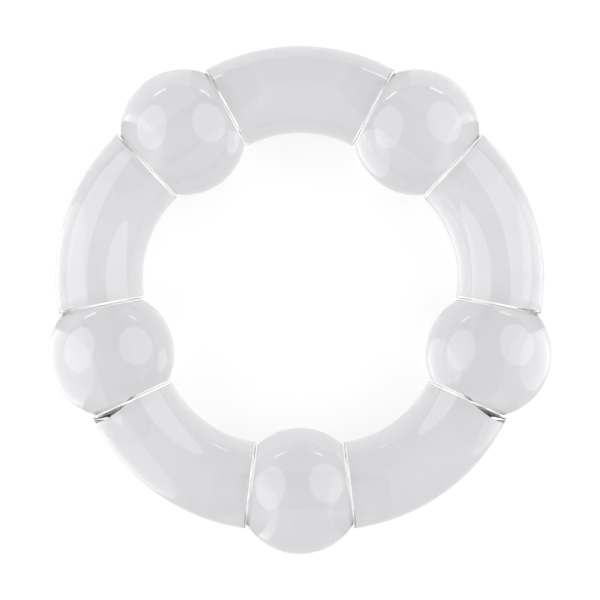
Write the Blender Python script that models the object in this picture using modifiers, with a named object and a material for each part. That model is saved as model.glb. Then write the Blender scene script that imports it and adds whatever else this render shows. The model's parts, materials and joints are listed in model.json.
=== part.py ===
"""Beaded teething ring: five clear balls and five curved grips, closed into a ring by five pins.

Metres, +Z up. The ring lies in the XY plane with its centre at the origin, at half its height.
Ball 1 is at -Y, and the numbers run anticlockwise seen from above.
Each ball turns on the straight pin that runs through it. The pin's two barbed ends are pressed
into the neighbouring grips, whose hollowed ends cup the ball.
"""

import math

import bpy
from mathutils import Vector

# Driving dimensions
PLACES = 5                          # balls, and grips, round the ring
BALL_RADIUS = 0.01015
BALL_CIRCLE_RADIUS = 0.0321         # ring centre to ball centre
GRIP_RADIUS = 0.0070
GRIP_MIDDLE_RADIUS = 0.0329         # ring centre to a grip's centre line, halfway along it
GAP = 0.0003                        # free play wherever one piece meets another

# The pin and the holes that it sits in
JOURNAL_RADIUS = 0.0022
BORE_RADIUS = JOURNAL_RADIUS + GAP
BORE_CHAMFER = 0.0004
BARB_RADIUS = 0.0026
BARB_PITCH = 0.0017
BARB_COUNT = 2
PIN_NOSE = 0.0004                   # chamfer at each end of the pin
SOCKET_RADIUS = BARB_RADIUS + GAP
SOCKET_DEPTH = 0.0042               # below the bottom of the grip's hollowed end

# Worked out from the above
STEP_ANGLE = 2 * math.pi / PLACES
FIRST_BALL_ANGLE = -math.pi / 2
SEAT_RADIUS = BALL_RADIUS + GAP
SOCKET_END = SEAT_RADIUS + SOCKET_DEPTH
PIN_HALF_LENGTH = SOCKET_END - GAP
# A grip's centre line is an arc, bent tighter than the ring. It leaves the circle through the
# ball centres where the grip's skin meets a ball, and comes back to it at the next ball.
RIM_REACH = math.sqrt(BALL_RADIUS ** 2 - GRIP_RADIUS ** 2)
HALF_SPAN = STEP_ANGLE / 2 - 2 * math.asin(RIM_REACH / (2 * BALL_CIRCLE_RADIUS))
BEND_OFFSET = ((GRIP_MIDDLE_RADIUS ** 2 - BALL_CIRCLE_RADIUS ** 2)
               / (2 * (GRIP_MIDDLE_RADIUS - BALL_CIRCLE_RADIUS * math.cos(HALF_SPAN))))
BEND_RADIUS = GRIP_MIDDLE_RADIUS - BEND_OFFSET
BEND_HALF_ANGLE = math.atan2(BALL_CIRCLE_RADIUS * math.sin(STEP_ANGLE / 2),
                             BALL_CIRCLE_RADIUS * math.cos(STEP_ANGLE / 2) - BEND_OFFSET)

# Fineness
TURN_STEPS = 28                     # facets round a ball
PIN_STEPS = 12
BALL_ARC_STEP = math.radians(9)
GRIP_LENGTHS = 16                   # straight lengths along a grip's centre line
GRIP_SIDES_SETTING = 8              # bevel resolution, which gives 4 + 2 * 8 sides
SEAT_SEGMENTS = 20
SEAT_RINGS = 16
MERGE_DISTANCE = 0.00001


def clear_scene():
    for obj in list(bpy.data.objects):
        bpy.data.objects.remove(obj, do_unlink=True)


def new_collection(name):
    collection = bpy.data.collections.new(name)
    bpy.context.scene.collection.children.link(collection)
    return collection


def soft_clear_material(name, colour, roughness, transmission):
    material = bpy.data.materials.new(name)
    material.use_nodes = True
    shader = material.node_tree.nodes["Principled BSDF"]
    shader.inputs["Base Color"].default_value = (*colour, 1.0)
    shader.inputs["Roughness"].default_value = roughness
    shader.inputs["Metallic"].default_value = 0.0
    shader.inputs["Transmission Weight"].default_value = transmission
    shader.inputs["IOR"].default_value = 1.42
    return material


def smooth_round_faces(mesh):
    mesh.shade_smooth()
    mesh.set_sharp_from_angle(angle=math.radians(35))


def turned_mesh(name, profile, steps, closed):
    """Turn a profile of (radius, height) points, listed down its outer side, about Z."""
    mesh = bpy.data.meshes.new(name + "_profile")
    points = [(radius, 0.0, height) for radius, height in profile]
    edges = [(i, i + 1) for i in range(len(points) - 1)]
    if closed:
        edges.append((len(points) - 1, 0))
    mesh.from_pydata(points, edges, [])
    blank = bpy.data.objects.new(name + "_blank", mesh)
    bpy.context.scene.collection.objects.link(blank)
    screw = blank.modifiers.new("turn", "SCREW")
    screw.steps = steps
    screw.render_steps = steps
    screw.use_merge_vertices = True
    screw.merge_threshold = MERGE_DISTANCE
    return finished_mesh(blank, name)


def finished_mesh(obj, name):
    """The object's mesh with its modifiers applied; the object itself is removed."""
    evaluated = obj.evaluated_get(bpy.context.evaluated_depsgraph_get())
    mesh = bpy.data.meshes.new_from_object(evaluated)
    mesh.name = name
    bpy.data.objects.remove(obj, do_unlink=True)
    smooth_round_faces(mesh)
    return mesh


def ball_mesh():
    """A ball with a straight bore along Z, chamfered at both mouths."""
    mouth_radius = BORE_RADIUS + BORE_CHAMFER
    mouth_height = math.sqrt(BALL_RADIUS ** 2 - mouth_radius ** 2)
    bore_end = mouth_height - BORE_CHAMFER
    profile = [(mouth_radius, mouth_height)]
    half_turns = round(math.pi / BALL_ARC_STEP)
    for i in range(1, half_turns):
        angle = i * BALL_ARC_STEP
        radius = BALL_RADIUS * math.sin(angle)
        if radius > mouth_radius + BORE_CHAMFER:
            profile.append((radius, BALL_RADIUS * math.cos(angle)))
    profile.append((mouth_radius, -mouth_height))
    profile.append((BORE_RADIUS, -bore_end))
    profile.append((BORE_RADIUS, bore_end))
    return turned_mesh("ball", profile, TURN_STEPS, closed=True)


def pin_mesh():
    """A round pin with a plain middle, where the ball turns, and barbs at both ends."""
    upper = [(0.0, PIN_HALF_LENGTH), (JOURNAL_RADIUS - PIN_NOSE, PIN_HALF_LENGTH)]
    for i in range(BARB_COUNT):
        tip = PIN_HALF_LENGTH - PIN_NOSE - i * BARB_PITCH
        back = tip - 0.8 * BARB_PITCH
        upper.append((JOURNAL_RADIUS, tip))
        upper.append((BARB_RADIUS, back))
        upper.append((JOURNAL_RADIUS, back))
    lower = [(radius, -height) for radius, height in reversed(upper)]
    return turned_mesh("axle_pin", upper + lower, PIN_STEPS, closed=False)


def point_on_circle(radius, angle):
    return (radius * math.cos(angle), radius * math.sin(angle), 0.0)


def ball_angle(place):
    return FIRST_BALL_ANGLE + place * STEP_ANGLE


def pin_direction(angle):
    """Rotation that lays local Z along the ring's tangent at this angle."""
    return (-math.pi / 2, 0.0, angle)


def grip_blank():
    """A plain round bar, bent to an arc, that reaches to the middle of both its balls."""
    curve = bpy.data.curves.new("grip_line", "CURVE")
    curve.dimensions = "3D"
    curve.bevel_depth = GRIP_RADIUS
    curve.bevel_resolution = GRIP_SIDES_SETTING
    curve.use_fill_caps = True
    spline = curve.splines.new("POLY")
    spline.points.add(GRIP_LENGTHS)
    middle = STEP_ANGLE / 2
    bend_centre = Vector(point_on_circle(BEND_OFFSET, middle))
    for i, point in enumerate(spline.points):
        angle = middle + BEND_HALF_ANGLE * (2 * i / GRIP_LENGTHS - 1)
        point.co = (*(bend_centre + Vector(point_on_circle(BEND_RADIUS, angle))), 1.0)
    bar = bpy.data.objects.new("grip_line", curve)
    bpy.context.scene.collection.objects.link(bar)
    mesh = finished_mesh(bar, "grip")
    bpy.data.curves.remove(curve)
    blank = bpy.data.objects.new("grip_blank", mesh)
    bpy.context.scene.collection.objects.link(blank)
    weld = blank.modifiers.new("join_caps", "WELD")
    weld.merge_threshold = MERGE_DISTANCE
    return blank


def make_cutter(obj, name, cutters):
    obj.name = name
    for collection in list(obj.users_collection):
        collection.objects.unlink(obj)
    cutters.objects.link(obj)
    obj.hide_render = True
    obj.display_type = "WIRE"
    return obj


def grip_cutters(cutters):
    """A ball to hollow each end of the grip, and a rod to drill each socket."""
    made = []
    for end, angle in (("near", 0.0), ("far", STEP_ANGLE)):
        centre = point_on_circle(BALL_CIRCLE_RADIUS, angle)
        bpy.ops.mesh.primitive_uv_sphere_add(
            segments=SEAT_SEGMENTS, ring_count=SEAT_RINGS, radius=SEAT_RADIUS,
            location=centre, rotation=pin_direction(angle))
        made.append(make_cutter(bpy.context.object, "seat_cutter_" + end, cutters))
        bpy.ops.mesh.primitive_cylinder_add(
            vertices=PIN_STEPS, radius=SOCKET_RADIUS, depth=2 * SOCKET_END,
            location=centre, rotation=pin_direction(angle))
        made.append(make_cutter(bpy.context.object, "socket_cutter_" + end, cutters))
    return made


def grip_mesh(cutters):
    """A bent solid bar with both ends hollowed to cup a ball and drilled for the pins."""
    blank = grip_blank()
    for cutter in grip_cutters(cutters):
        cut = blank.modifiers.new(cutter.name, "BOOLEAN")
        cut.operation = "DIFFERENCE"
        cut.object = cutter
    return finished_mesh(blank, "grip")


def place_piece(name, mesh, material, collection, location, rotation):
    obj = bpy.data.objects.new(name, mesh)
    collection.objects.link(obj)
    obj.location = location
    obj.rotation_euler = rotation
    obj.material_slots[0].link = "OBJECT"
    obj.material_slots[0].material = material
    return obj


def build_ring():
    clear_scene()
    ring = new_collection("teething_ring")
    cutters = new_collection("cutters")
    ball_material = soft_clear_material("ball_clear", (0.84, 0.84, 0.85), 0.08, 0.9)
    grip_material = soft_clear_material("grip_clear", (0.86, 0.86, 0.87), 0.10, 0.9)
    pin_material = soft_clear_material("pin_clear", (0.90, 0.90, 0.91), 0.15, 0.8)
    ball = ball_mesh()
    pin = pin_mesh()
    grip = grip_mesh(cutters)
    for mesh in (ball, pin, grip):
        mesh.materials.clear()
        mesh.materials.append(None)
    for place in range(PLACES):
        number = str(place + 1)
        angle = ball_angle(place)
        centre = point_on_circle(BALL_CIRCLE_RADIUS, angle)
        turned = pin_direction(angle)
        place_piece("ball_" + number, ball, ball_material, ring, centre, turned)
        place_piece("axle_pin_" + number, pin, pin_material, ring, centre, turned)
        place_piece("grip_" + number, grip, grip_material, ring, (0, 0, 0), (0, 0, angle))


build_ring()
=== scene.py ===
"""Looks of the clear beaded teething ring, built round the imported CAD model.

Metres, +Z up, the CAD's own frame: the ring lies round the origin in the XY plane.
"""

import json
import math

import bmesh
import bpy
from mathutils import Euler, Matrix, Vector

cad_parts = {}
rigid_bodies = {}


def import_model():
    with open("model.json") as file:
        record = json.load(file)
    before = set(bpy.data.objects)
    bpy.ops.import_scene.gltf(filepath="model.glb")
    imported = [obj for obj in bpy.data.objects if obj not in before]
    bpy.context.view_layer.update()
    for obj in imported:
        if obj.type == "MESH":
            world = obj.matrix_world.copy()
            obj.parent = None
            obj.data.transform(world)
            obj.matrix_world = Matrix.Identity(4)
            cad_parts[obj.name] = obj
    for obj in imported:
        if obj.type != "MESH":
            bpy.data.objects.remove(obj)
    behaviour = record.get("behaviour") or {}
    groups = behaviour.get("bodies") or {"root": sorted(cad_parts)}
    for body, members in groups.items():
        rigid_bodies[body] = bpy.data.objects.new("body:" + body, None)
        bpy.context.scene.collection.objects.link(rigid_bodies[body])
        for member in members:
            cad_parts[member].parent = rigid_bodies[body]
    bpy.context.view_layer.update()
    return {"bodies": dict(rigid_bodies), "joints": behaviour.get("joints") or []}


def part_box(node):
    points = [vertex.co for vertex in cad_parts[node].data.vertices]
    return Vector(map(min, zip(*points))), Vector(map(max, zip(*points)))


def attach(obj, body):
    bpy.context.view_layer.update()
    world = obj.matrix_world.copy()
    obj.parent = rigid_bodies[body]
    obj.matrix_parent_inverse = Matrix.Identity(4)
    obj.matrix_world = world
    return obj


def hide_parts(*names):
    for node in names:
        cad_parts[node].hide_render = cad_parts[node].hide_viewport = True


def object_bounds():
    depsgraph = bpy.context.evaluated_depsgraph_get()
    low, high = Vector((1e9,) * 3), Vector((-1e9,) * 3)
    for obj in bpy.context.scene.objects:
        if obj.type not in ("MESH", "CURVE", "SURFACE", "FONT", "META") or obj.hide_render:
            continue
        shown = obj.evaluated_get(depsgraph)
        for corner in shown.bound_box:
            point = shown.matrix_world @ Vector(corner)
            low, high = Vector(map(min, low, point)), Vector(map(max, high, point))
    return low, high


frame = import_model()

# Sizes read from the frame
FIRST_BALL_LOW, FIRST_BALL_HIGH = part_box("ball_1")
GRIP_LOW, GRIP_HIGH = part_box("grip_1")
PIN_LOW, PIN_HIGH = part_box("axle_pin_1")
BALL_RADIUS = (FIRST_BALL_HIGH.z - FIRST_BALL_LOW.z) / 2
GRIP_RADIUS = (GRIP_HIGH.z - GRIP_LOW.z) / 2
BARB_RADIUS = (PIN_HIGH.z - PIN_LOW.z) / 2
PIN_HALF_LENGTH = (PIN_HIGH.x - PIN_LOW.x) / 2     # ball 1's pin lies along X
SPINS = sorted(frame["joints"], key=lambda joint: joint["child"])
BALL_CIRCLE_RADIUS = Vector(SPINS[0]["pos_m"]).length
STEP_ANGLE = 2 * math.pi / len(SPINS)

# A grip's centre line: an arc that leaves the circle through the ball centres where the grip's
# skin meets a ball, and comes back to it at the next ball. Grip 3 is the one that lies along +Y.
GRIP_MIDDLE_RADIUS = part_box("grip_3")[1].y - GRIP_RADIUS
RIM_REACH = math.sqrt(BALL_RADIUS ** 2 - GRIP_RADIUS ** 2)
HALF_SPAN = STEP_ANGLE / 2 - 2 * math.asin(RIM_REACH / (2 * BALL_CIRCLE_RADIUS))
BEND_OFFSET = ((GRIP_MIDDLE_RADIUS ** 2 - BALL_CIRCLE_RADIUS ** 2)
               / (2 * (GRIP_MIDDLE_RADIUS - BALL_CIRCLE_RADIUS * math.cos(HALF_SPAN))))
BEND_RADIUS = GRIP_MIDDLE_RADIUS - BEND_OFFSET
BEND_HALF_ANGLE = math.atan2(BALL_CIRCLE_RADIUS * math.sin(STEP_ANGLE / 2),
                             BALL_CIRCLE_RADIUS * math.cos(STEP_ANGLE / 2) - BEND_OFFSET)

# Sizes that the CAD has too
GAP = 0.0003                        # free play between a pin and its bore, or a ball and its seat
JOURNAL_RADIUS = 0.0022
BORE_RADIUS = JOURNAL_RADIUS + GAP
BORE_ROUNDING = 0.0004
SOCKET_RADIUS = BARB_RADIUS + GAP
SOCKET_END = PIN_HALF_LENGTH + GAP
SEAT_RADIUS = BALL_RADIUS + GAP

# The pin's ends
PIN_NOSE = 0.0005                   # rounding radius at the end
BARB_COUNT = 2
BARB_PITCH = 0.0017
BARB_LENGTH = 0.75 * BARB_PITCH
BARB_LAND = 0.0001                  # a barb's widest part
BARB_BACK = 0.00015                 # from there to where it is down to the journal again
FIRST_BARB_TIP = 0.0006             # from the pin's end

# The grip's edge, where it meets a ball
LIP_ROUNDING = 0.00045
LIP_STEPS = 4

# Fineness
SHARP_ANGLE = math.radians(40)
MERGE_DISTANCE = 0.000001
BALL_STEPS = 128
BALL_ARC_STEPS = 80
MOUTH_STEPS = 6
PIN_STEPS = 48
PIN_NOSE_STEPS = 4
GRIP_SIDES = 128
GRIP_ROWS = 32
SEAT_ROWS = 8
RIM_ROWS = 5                        # of the seat's rows, the ones that air may reach
SOCKET_ROWS = 4
RIM_HALVINGS = 40                   # of the search for a grip's edge

# The gel: its colours are what one skin lets through. Balls and grips are one gel, but the ball is
# tinted lighter and the grip darker: painted light and painted shade that even out how bright each
# shows.
GEL_IOR = 1.42
BALL_TINT = (0.79, 0.79, 0.805)
GRIP_TINT = (0.75, 0.75, 0.765)
# The lip's white is a painted highlight along each joint line
LIP_PAINTED_HIGHLIGHT_WHITE = (1.0, 1.0, 1.0)
PIN_TINT = (0.98, 0.98, 0.98)
GEL_HAZE = 0.05
LIP_HAZE = 0.08
PIN_HAZE = 0.02
LIP_CLEARNESS = (0.2, 1.0)          # lowest and highest share of light that a lip lets through; the rest shows its white as a painted highlight
CLOUD_CONTRAST = 0.015
HAZE_CONTRAST = 0.4
BUMP_STRENGTH = 0.25
BUMP_HEIGHT = 0.00002
# Noise, as its scale per metre and its detail
CLOUD_NOISE = (160, 3)
HAZE_NOISE = (700, 4)
BUMP_NOISE = (380, 2)
# The last noise sets the patches where the lip shows its painted white highlight
LIP_HIGHLIGHT_NOISE = (220, 2)

# Where ball and grip touch. It is from WET_DEPTH inwards, but on the ring's outer side air gets
# in deeper, and deepest at the two joints nearest OPEN_Y.
WET_DEPTH = 0.0003
WEDGE_RADII = (0.0315, 0.0365)      # from the ring's axis, where the air starts to get deeper
OPEN_Y = -0.0185
OPEN_REACH = (0.006, 0.012)         # from OPEN_Y, where the deepest part starts to end
OPEN_DEPTH = 0.0018
SHUT_DEPTH = 0.0004
RIM_BAND_START = 0.0064             # along the ball's axis, the part of it that air may reach
RIM_BAND_END = 0.0094

# Material slots
BALL_OPEN, BALL_RIM, BALL_TOUCHING = range(3)
GRIP_SKIN, GRIP_LIP, GRIP_RIM, GRIP_TOUCHING = range(4)

# Studio. World levels are (place, level) from -Y at 0 to +Y at 1.
FLOOR_SIZE = 20
FLOOR_GREY = 0.27
FLOOR_ROUGHNESS = 0.9
FLOOR_GLOW = 0.69
WORLD_LEVELS = ((0, 0.85), (0.25, 1.0), (0.5, 0.75), (0.7, 0.35), (0.9, 0.15), (1, 0.1))
WORLD_STRENGTH = 1.2
LAMP_DISTANCE = 0.6
LAMPS = (                           # name, shape, direction, size, power
    ("left_softbox", "ELLIPSE", (-0.846, 0.115, 0.521), (0.82, 0.70), 3.1),
    ("right_softbox", "ELLIPSE", (0.764, 0.259, 0.591), (0.78, 0.80), 3.3),
    ("far_left_strip", "RECTANGLE", (-0.52, 0.85, 0.06), (0.17, 0.045), 0.14),
    ("far_right_strip", "RECTANGLE", (0.44, 0.885, 0.06), (0.17, 0.045), 0.14))
CAMERA_LENS = 100                   # millimetres, as is the sensor
CAMERA_SENSOR = 36
PICTURE_WIDTH = 3.0288 * BALL_CIRCLE_RADIUS        # at the height of the ring's middle


# ---------------------------------------------------------------- meshes

def finished_mesh(obj, name):
    """The object's mesh with its modifiers applied; the object itself is removed."""
    evaluated = obj.evaluated_get(bpy.context.evaluated_depsgraph_get())
    mesh = bpy.data.meshes.new_from_object(evaluated)
    mesh.name = name
    bpy.data.objects.remove(obj, do_unlink=True)
    mesh.shade_smooth()
    mesh.set_sharp_from_angle(angle=SHARP_ANGLE)
    return mesh


def turned_mesh(name, profile, steps, closed):
    """Turn a profile of (radius, height) points, listed down its outer side, about Z."""
    points = [(radius, 0.0, height) for radius, height in profile]
    edges = [(i, i + 1) for i in range(len(points) - 1)]
    if closed:
        edges.append((len(points) - 1, 0))
    mesh = bpy.data.meshes.new(name + "_profile")
    mesh.from_pydata(points, edges, [])
    obj = bpy.data.objects.new(name + "_profile", mesh)
    bpy.context.scene.collection.objects.link(obj)
    screw = obj.modifiers.new("turn", "SCREW")
    screw.steps = steps
    screw.render_steps = steps
    screw.use_merge_vertices = True
    screw.merge_threshold = MERGE_DISTANCE
    return finished_mesh(obj, name)


def arc(centre, radius, start, end, steps):
    """Points of a (radius, height) arc; angles run from the turning axis's top."""
    points = []
    for i in range(steps + 1):
        angle = start + (end - start) * i / steps
        points.append((centre[0] + radius * math.sin(angle), centre[1] + radius * math.cos(angle)))
    return points


def ball_mesh():
    """A ball with a straight bore along Z, rounded where the bore opens.

    Its skin is open, but near a grip's edge only some of it has air beside it, and nearer the
    bore and inside it a grip or the pin always touches it.
    """
    rounding_radius = BORE_RADIUS + BORE_ROUNDING
    rounding_height = math.sqrt((BALL_RADIUS - BORE_ROUNDING) ** 2 - rounding_radius ** 2)
    start = math.atan2(rounding_radius, rounding_height)
    outside = arc((0, 0), BALL_RADIUS, start, math.pi - start, BALL_ARC_STEPS)
    top = arc((rounding_radius, rounding_height), BORE_ROUNDING,
              -math.pi / 2, start, MOUTH_STEPS)[:-1]
    bottom = [(radius, -height) for radius, height in reversed(top)]
    mesh = turned_mesh("ball_form", top + outside + bottom, BALL_STEPS, closed=True)
    for face in mesh.polygons:
        centre = face.center
        if abs(centre.z) > RIM_BAND_END or math.hypot(centre.x, centre.y) < rounding_radius:
            face.material_index = BALL_TOUCHING
        elif abs(centre.z) > RIM_BAND_START:
            face.material_index = BALL_RIM
        else:
            face.material_index = BALL_OPEN
    return mesh


def pin_mesh():
    """A smooth pin whose ends carry rounded barbs."""
    upper = [(0.0, PIN_HALF_LENGTH)]
    upper += arc((JOURNAL_RADIUS - PIN_NOSE, PIN_HALF_LENGTH - PIN_NOSE), PIN_NOSE,
                 0, math.pi / 2, PIN_NOSE_STEPS)
    for i in range(BARB_COUNT):
        tip = PIN_HALF_LENGTH - FIRST_BARB_TIP - i * BARB_PITCH
        back = tip - BARB_LENGTH
        upper.append((JOURNAL_RADIUS, tip))
        upper.append((BARB_RADIUS, back))
        upper.append((BARB_RADIUS, back - BARB_LAND))
        upper.append((JOURNAL_RADIUS, back - BARB_BACK))
    lower = [(radius, -height) for radius, height in reversed(upper)]
    return turned_mesh("pin_form", upper + lower, PIN_STEPS, closed=False)


class BallFrame:
    """Where a ball stands on the ring, and which way its pin runs into the grip.

    The sign is 1 where that is anticlockwise round the ring, and -1 where it is clockwise.
    """

    def __init__(self, angle, pin_sign):
        outward = Vector((math.cos(angle), math.sin(angle), 0))
        self.centre = outward * BALL_CIRCLE_RADIUS
        self.pin = Vector((-outward.y, outward.x, 0)) * pin_sign


def grip_skin(along, around):
    """Point on the grip's skin: an angle along its bend and an angle round the bar."""
    distance = BEND_RADIUS + GRIP_RADIUS * math.cos(around)
    return Vector((BEND_OFFSET * math.cos(STEP_ANGLE / 2) + distance * math.cos(along),
                   BEND_OFFSET * math.sin(STEP_ANGLE / 2) + distance * math.sin(along),
                   GRIP_RADIUS * math.sin(around)))


def rim_angle(ball, inside, outside, around):
    """Angle along the bend where this line of the grip's skin meets the hollowed end."""
    for _ in range(RIM_HALVINGS):
        middle = (inside + outside) / 2
        if (grip_skin(middle, around) - ball.centre).length > SEAT_RADIUS:
            inside = middle
        else:
            outside = middle
    return inside


def bridge(work, rows):
    """Quads between rows of points that each run once round."""
    faces = []
    for low, high in zip(rows, rows[1:]):
        for j in range(len(low)):
            after = (j + 1) % len(low)
            faces.append(work.faces.new((low[j], low[after], high[after], high[j])))
    return faces


def seat_and_socket(work, rim, ball):
    """Rows of points from a grip's edge down its cup to the socket, and along that to its end."""
    rows = [rim]
    spokes = []
    for vert in rim:
        offset = vert.co - ball.centre
        from_pin = offset - ball.pin * offset.dot(ball.pin)
        spokes.append((from_pin.length, from_pin.normalized()))
    for i in range(1, SEAT_ROWS + 1):
        row = []
        for rim_distance, spoke in spokes:
            distance = rim_distance + (SOCKET_RADIUS - rim_distance) * i / SEAT_ROWS
            height = math.sqrt(SEAT_RADIUS ** 2 - distance ** 2)
            row.append(work.verts.new(ball.centre + ball.pin * height + spoke * distance))
        rows.append(row)
    mouth_height = math.sqrt(SEAT_RADIUS ** 2 - SOCKET_RADIUS ** 2)
    for i in range(1, SOCKET_ROWS + 1):
        height = mouth_height + (SOCKET_END - mouth_height) * i / SOCKET_ROWS
        rows.append([work.verts.new(ball.centre + ball.pin * height + spoke * SOCKET_RADIUS)
                     for _, spoke in spokes])
    return rows


def rounded_lips(mesh):
    """The grip's mesh with its two weighted edges rounded, in the lips' own material slot."""
    obj = bpy.data.objects.new("grip_form", mesh)
    bpy.context.scene.collection.objects.link(obj)
    lip = obj.modifiers.new("lip", "BEVEL")
    lip.width = LIP_ROUNDING
    lip.segments = LIP_STEPS
    lip.limit_method = "WEIGHT"
    lip.material = GRIP_LIP
    return finished_mesh(obj, "grip_form")


def grip_mesh():
    """A bent bar from ball to ball: its skin, and at each end a cup and a blind socket."""
    near = BallFrame(0.0, 1)
    far = BallFrame(STEP_ANGLE, -1)
    turns = [2 * math.pi * j / GRIP_SIDES for j in range(GRIP_SIDES)]
    middle = STEP_ANGLE / 2
    starts = [rim_angle(near, middle, middle - BEND_HALF_ANGLE, around) for around in turns]
    ends = [rim_angle(far, middle, middle + BEND_HALF_ANGLE, around) for around in turns]
    work = bmesh.new()
    skin_rows = []
    for i in range(GRIP_ROWS + 1):
        share = i / GRIP_ROWS
        skin_rows.append([work.verts.new(grip_skin(start + (end - start) * share, around))
                          for start, end, around in zip(starts, ends, turns)])
    rims = (skin_rows[0], skin_rows[-1])
    end_rows = [seat_and_socket(work, rim, ball) for rim, ball in zip(rims, (near, far))]
    bridge(work, skin_rows)
    for rows in end_rows:
        for face in bridge(work, rows[:RIM_ROWS + 1]):
            face.material_index = GRIP_RIM
        for face in bridge(work, rows[RIM_ROWS:]) + [work.faces.new(rows[-1])]:
            face.material_index = GRIP_TOUCHING
    bmesh.ops.recalc_face_normals(work, faces=work.faces)
    weights = work.edges.layers.float.new("bevel_weight_edge")
    for rim in rims:
        for vert, after in zip(rim, rim[1:] + rim[:1]):
            work.edges.get((vert, after))[weights] = 1.0
    mesh = bpy.data.meshes.new("grip_form")
    work.to_mesh(mesh)
    work.free()
    for _ in (GRIP_SKIN, GRIP_LIP, GRIP_RIM, GRIP_TOUCHING):
        mesh.materials.append(None)
    return rounded_lips(mesh)


# ---------------------------------------------------------------- materials

def math_node(tree, operation, first, second=0):
    """A Math node; each operand is a socket or a number."""
    node = tree.nodes.new("ShaderNodeMath")
    node.operation = operation
    for socket, value in zip(node.inputs, (first, second)):
        if isinstance(value, (int, float)):
            socket.default_value = value
        else:
            tree.links.new(value, socket)
    return node.outputs["Value"]


def root_of_squares(tree, first, second):
    return math_node(tree, "SQRT", math_node(
        tree, "ADD", math_node(tree, "MULTIPLY", first, first),
        math_node(tree, "MULTIPLY", second, second)))


def air_beside(tree, ring_centre):
    """One where a ball's or a seat's skin has air beside it, and zero where the two touch.

    They touch where the point lies deep enough in the bent bar of the nearest grip, and the
    air reaches deeper on the ring's outer side. Points are taken in the ring's own frame, so
    that the patches that touch stay by the grips, however far the ball has turned.
    """
    place = tree.nodes.new("ShaderNodeTexCoord")
    place.object = ring_centre
    split = tree.nodes.new("ShaderNodeSeparateXYZ")
    tree.links.new(place.outputs["Object"], split.inputs["Vector"])
    x, y, z = split.outputs
    first_ball = Vector(SPINS[0]["pos_m"])
    turned = math_node(tree, "SUBTRACT", math_node(tree, "ARCTAN2", y, x),
                       math.atan2(first_ball.y, first_ball.x))
    from_ball = math_node(tree, "PINGPONG", math_node(tree, "ADD", turned, 2 * math.pi),
                          STEP_ANGLE / 2)
    from_middle = math_node(tree, "SUBTRACT", from_ball, STEP_ANGLE / 2)
    distance = root_of_squares(tree, x, y)
    outward = math_node(tree, "MULTIPLY", distance, math_node(tree, "COSINE", from_middle))
    sideways = math_node(tree, "MULTIPLY", distance, math_node(tree, "SINE", from_middle))
    from_bend = root_of_squares(
        tree, math_node(tree, "SUBTRACT", outward, BEND_OFFSET), sideways)
    from_line = root_of_squares(
        tree, math_node(tree, "SUBTRACT", from_bend, BEND_RADIUS), z)
    depth = math_node(tree, "SUBTRACT", GRIP_RADIUS, from_line)
    from_open = math_node(tree, "ABSOLUTE", math_node(tree, "SUBTRACT", y, OPEN_Y))
    deepest = spread(tree, from_open, OPEN_DEPTH, SHUT_DEPTH, *OPEN_REACH)
    share = spread(tree, distance, 0, 1, *WEDGE_RADII)
    reach = math_node(tree, "ADD", math_node(tree, "MULTIPLY", deepest, share), WET_DEPTH)
    return math_node(tree, "LESS_THAN", depth, reach)


def noise(tree, scale, detail):
    place = tree.nodes.new("ShaderNodeTexCoord")
    node = tree.nodes.new("ShaderNodeTexNoise")
    node.inputs["Scale"].default_value = scale
    node.inputs["Detail"].default_value = detail
    tree.links.new(place.outputs["Object"], node.inputs["Vector"])
    return node.outputs["Fac"]


def spread(tree, value, low, high, start=0.3, end=0.7):
    """A value from start to end, mapped from low to high and held there beyond.

    Noise stays near a half, and start and end suit that where they aren't given.
    """
    node = tree.nodes.new("ShaderNodeMapRange")
    node.inputs["From Min"].default_value = start
    node.inputs["From Max"].default_value = end
    node.inputs["To Min"].default_value = low
    node.inputs["To Max"].default_value = high
    tree.links.new(value, node.inputs["Value"])
    return node.outputs["Result"]


def gel_material(name, colour, haze, ring_centre=None):
    """Clear soft gel: faintly cloudy, with a skin that isn't quite even.

    With a ring centre, the skin is only there where air is beside it.
    """
    material = bpy.data.materials.new(name)
    material.use_nodes = True
    tree = material.node_tree
    shader = tree.nodes["Principled BSDF"]
    shader.inputs["IOR"].default_value = GEL_IOR
    shader.inputs["Transmission Weight"].default_value = 1.0
    cloud = tree.nodes.new("ShaderNodeMix")
    cloud.data_type = "RGBA"
    # By place, because the node's other data types have sockets of the same names
    factor, darker, lighter, mixed = (
        cloud.inputs[0], cloud.inputs[6], cloud.inputs[7], cloud.outputs[2])
    darker.default_value = (*(level * (1 - CLOUD_CONTRAST) for level in colour), 1)
    lighter.default_value = (*(level * (1 + CLOUD_CONTRAST) for level in colour), 1)
    tree.links.new(spread(tree, noise(tree, *CLOUD_NOISE), 0, 1), factor)
    tree.links.new(mixed, shader.inputs["Base Color"])
    tree.links.new(spread(tree, noise(tree, *HAZE_NOISE), haze * (1 - HAZE_CONTRAST),
                          haze * (1 + HAZE_CONTRAST)), shader.inputs["Roughness"])
    bump = tree.nodes.new("ShaderNodeBump")
    bump.inputs["Strength"].default_value = BUMP_STRENGTH
    bump.inputs["Distance"].default_value = BUMP_HEIGHT
    tree.links.new(noise(tree, *BUMP_NOISE), bump.inputs["Height"])
    tree.links.new(bump.outputs["Normal"], shader.inputs["Normal"])
    if ring_centre:
        tree.links.new(air_beside(tree, ring_centre), shader.inputs["Alpha"])
    return material


def touching_material():
    """Gel against gel, with no air between: light goes straight on."""
    material = bpy.data.materials.new("gel_against_gel")
    material.use_nodes = True
    tree = material.node_tree
    tree.nodes.remove(tree.nodes["Principled BSDF"])
    clear = tree.nodes.new("ShaderNodeBsdfTransparent")
    tree.links.new(clear.outputs["BSDF"], tree.nodes["Material Output"].inputs["Surface"])
    return material


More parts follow.
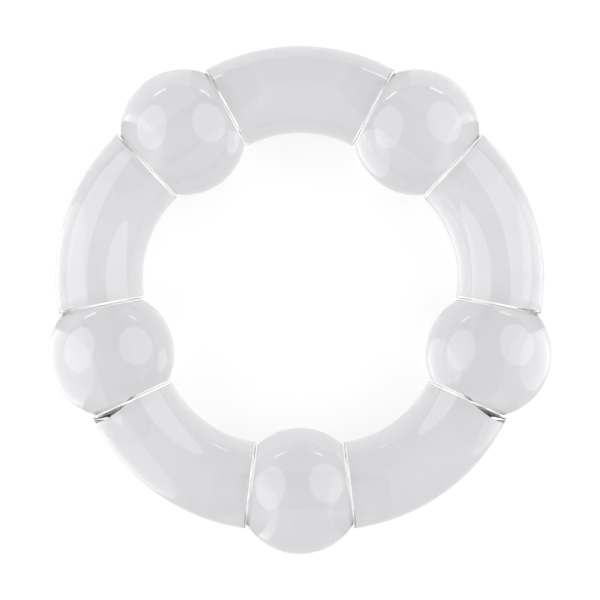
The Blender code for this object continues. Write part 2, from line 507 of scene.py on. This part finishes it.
def painted_highlight_lip_material():
    """The thin edge of a grip, where the gel lets less light through in noise patches and shows
    white: a painted highlight along the joint.
    """
    material = gel_material("gel_lip_painted_highlight", LIP_PAINTED_HIGHLIGHT_WHITE, LIP_HAZE)
    tree = material.node_tree
    # Noise patches where the lip lets less light through and shows its white: painted highlight
    tree.links.new(spread(tree, noise(tree, *LIP_HIGHLIGHT_NOISE), *LIP_CLEARNESS),
                   tree.nodes["Principled BSDF"].inputs["Transmission Weight"])
    return material


def pin_material():
    """The same gel as round it, so its skin bends no light; only a trace of haze shows."""
    material = gel_material("clear_pin", PIN_TINT, PIN_HAZE)
    material.node_tree.nodes["Principled BSDF"].inputs["IOR"].default_value = 1.0
    return material


# ---------------------------------------------------------------- the ring

def place_piece(name, form, materials, rotation, location, body, node):
    """Its own copy of the form, moved to its place, so that the piece's box is exact."""
    mesh = form.copy()
    mesh.name = name
    mesh.transform(Matrix.LocRotScale(Vector(location), Euler(rotation), None))
    while len(mesh.materials) < len(materials):
        mesh.materials.append(None)
    for index, material in enumerate(materials):
        mesh.materials[index] = material
    obj = bpy.data.objects.new(name, mesh)
    bpy.context.scene.collection.objects.link(obj)
    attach(obj, body)
    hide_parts(node)
    return obj


def build_ring():
    """Every ball with its pin, and the grip that follows it round the ring."""
    ball = ball_mesh()
    pin = pin_mesh()
    grip = grip_mesh()
    ring_centre = bpy.data.objects.new("ring_centre", None)
    bpy.context.scene.collection.objects.link(ring_centre)
    ring_centre.parent = frame["bodies"][SPINS[0]["parent"]]
    touching = touching_material()
    # Ball and grip gels differ only in tint: painted light on the ball, painted shade on the grip
    ball_looks = (gel_material("ball_gel", BALL_TINT, GEL_HAZE),
                  gel_material("ball_gel_at_rim", BALL_TINT, GEL_HAZE, ring_centre), touching)
    grip_looks = (gel_material("grip_gel", GRIP_TINT, GEL_HAZE), painted_highlight_lip_material(),
                  gel_material("grip_gel_at_rim", GRIP_TINT, GEL_HAZE, ring_centre), touching)
    pin_looks = (pin_material(),)
    for number, spin in enumerate(SPINS, start=1):
        centre = Vector(spin["pos_m"])
        angle = math.atan2(centre.y, centre.x)
        turned = (-math.pi / 2, 0, angle)
        place_piece(f"clear_ball_{number}", ball, ball_looks, turned, centre,
                    spin["child"], f"ball_{number}")
        place_piece(f"clear_pin_{number}", pin, pin_looks, turned, centre,
                    spin["parent"], f"axle_pin_{number}")
        place_piece(f"clear_grip_{number}", grip, grip_looks, (0, 0, angle), (0, 0, 0),
                    spin["parent"], f"grip_{number}")


# ---------------------------------------------------------------- studio

def build_floor():
    """A plain pale floor that glows a little, so that it stays pale under the ring."""
    bpy.ops.mesh.primitive_plane_add(size=FLOOR_SIZE, location=(0, 0, -BALL_RADIUS))
    floor = bpy.context.object
    floor.name = "floor"
    material = bpy.data.materials.new("pale_floor")
    material.use_nodes = True
    shader = material.node_tree.nodes["Principled BSDF"]
    shader.inputs["Base Color"].default_value = (FLOOR_GREY, FLOOR_GREY, FLOOR_GREY, 1)
    shader.inputs["Roughness"].default_value = FLOOR_ROUGHNESS
    shader.inputs["Specular IOR Level"].default_value = 0.0
    shader.inputs["Emission Color"].default_value = (1, 1, 1, 1)
    shader.inputs["Emission Strength"].default_value = FLOOR_GLOW
    floor.data.materials.append(material)


def build_world():
    """Soft light from all round, whose level changes from -Y to +Y."""
    world = bpy.data.worlds.new("studio")
    bpy.context.scene.world = world
    world.use_nodes = True
    tree = world.node_tree
    direction = tree.nodes.new("ShaderNodeTexCoord")
    split = tree.nodes.new("ShaderNodeSeparateXYZ")
    tree.links.new(direction.outputs["Generated"], split.inputs["Vector"])
    ramp = tree.nodes.new("ShaderNodeValToRGB")
    tree.links.new(spread(tree, split.outputs["Y"], 0, 1, -1, 1), ramp.inputs["Fac"])
    stops = ramp.color_ramp.elements
    for position, _ in WORLD_LEVELS[1:-1]:
        stops.new(position)
    for stop, (_, level) in zip(stops, WORLD_LEVELS):
        stop.color = (level, level, level, 1)
    background = tree.nodes["Background"]
    tree.links.new(ramp.outputs["Color"], background.inputs["Color"])
    background.inputs["Strength"].default_value = WORLD_STRENGTH


def build_lamps():
    """Area lamps round the ring, turned to its centre."""
    for name, shape, direction, size, power in LAMPS:
        lamp = bpy.data.lights.new(name, "AREA")
        lamp.shape = shape
        lamp.size, lamp.size_y = size
        lamp.energy = power
        obj = bpy.data.objects.new(name, lamp)
        bpy.context.scene.collection.objects.link(obj)
        obj.location = Vector(direction) * LAMP_DISTANCE
        obj.rotation_euler = (-Vector(direction)).to_track_quat("-Z", "Y").to_euler()
        obj.visible_camera = False


def build_camera():
    """A camera that looks straight down on the ring."""
    low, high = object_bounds()
    camera = bpy.data.cameras.new("camera")
    camera.lens = CAMERA_LENS
    camera.sensor_width = CAMERA_SENSOR
    obj = bpy.data.objects.new("camera", camera)
    bpy.context.scene.collection.objects.link(obj)
    distance = PICTURE_WIDTH * CAMERA_LENS / CAMERA_SENSOR
    obj.location = ((low.x + high.x) / 2, (low.y + high.y) / 2, distance)
    bpy.context.scene.camera = obj


build_camera()
build_ring()
build_floor()
build_world()
build_lamps()
bpy.context.scene.view_settings.view_transform = "Standard"
